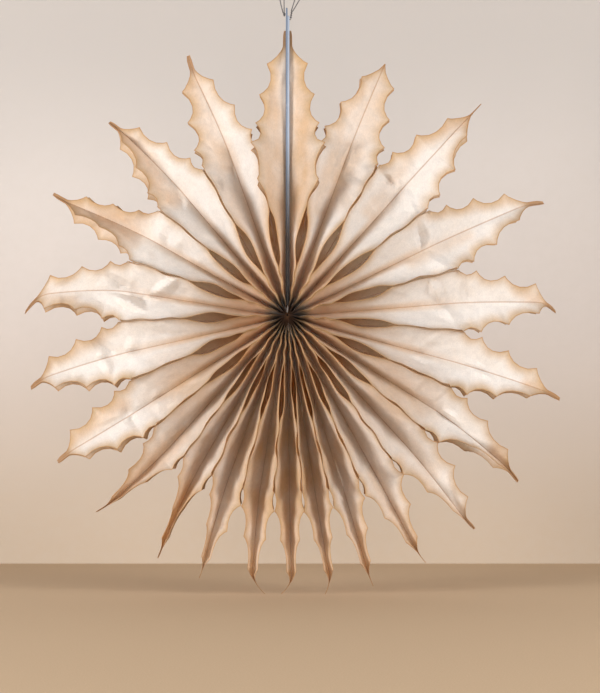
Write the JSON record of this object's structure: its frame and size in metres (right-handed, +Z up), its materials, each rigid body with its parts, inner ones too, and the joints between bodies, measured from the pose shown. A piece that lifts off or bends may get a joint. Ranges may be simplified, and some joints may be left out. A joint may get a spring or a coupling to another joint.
{
  "type": "paper fan rosette",
  "caption": "Round hanging fan of spiny paper leaves, glued back to back and edge to edge, closed by two flat bars on threads.",
  "frame": {"origin": "where the two thread loops go over what holds them, in the plane between the two bars", "axes": "+Z up, +X to the viewer's right, the front faces -Y, Y through the rosette's thickness"},
  "size_m": [0.6319, 0.101, 0.7068],
  "materials": {
    "paper": "matt, browned along every cut edge",
    "bar_metal": "satin bluish grey, on aluminium",
    "magnet_metal": "bright nickel",
    "thread": "black twisted thread"
  },
  "bodies": {
    "root": {"closure_magnet_1": "magnet_metal", "closure_magnet_2": "magnet_metal", "closure_magnet_3": "magnet_metal", "leaf_01_ccw_sheet": "paper", "leaf_01_cw_sheet": "paper", "leaf_02_ccw_sheet": "paper", "leaf_02_cw_sheet": "paper", "leaf_03_ccw_sheet": "paper", "leaf_03_cw_sheet": "paper", "leaf_04_ccw_sheet": "paper", "leaf_04_cw_sheet": "paper", "leaf_05_ccw_sheet": "paper", "leaf_05_cw_sheet": "paper", "leaf_06_ccw_sheet": "paper", "leaf_06_cw_sheet": "paper", "leaf_07_ccw_sheet": "paper", "leaf_07_cw_sheet": "paper", "leaf_08_ccw_sheet": "paper", "leaf_08_cw_sheet": "paper", "leaf_09_ccw_sheet": "paper", "leaf_09_cw_sheet": "paper", "leaf_10_ccw_sheet": "paper", "leaf_10_cw_sheet": "paper", "leaf_11_ccw_sheet": "paper", "leaf_11_cw_sheet": "paper", "leaf_12_ccw_sheet": "paper", "leaf_12_cw_sheet": "paper", "leaf_13_ccw_sheet": "paper", "leaf_13_cw_sheet": "paper", "leaf_14_ccw_sheet": "paper", "leaf_14_cw_sheet": "paper", "leaf_15_ccw_sheet": "paper", "leaf_15_cw_sheet": "paper", "leaf_16_ccw_sheet": "paper", "leaf_16_cw_sheet": "paper", "leaf_17_ccw_sheet": "paper", "leaf_17_cw_sheet": "paper", "leaf_18_ccw_sheet": "paper", "leaf_18_cw_sheet": "paper", "leaf_19_ccw_sheet": "paper", "leaf_19_cw_sheet": "paper", "leaf_20_ccw_sheet": "paper", "leaf_20_cw_sheet": "paper", "leaf_21_ccw_sheet": "paper", "leaf_21_cw_sheet": "paper", "leaf_22_ccw_sheet": "paper", "leaf_22_cw_sheet": "paper", "left_closure_bar": "bar_metal", "left_hanging_thread": "thread", "right_closure_bar": "bar_metal", "right_hanging_thread": "thread"}
  },
  "joints": []
}
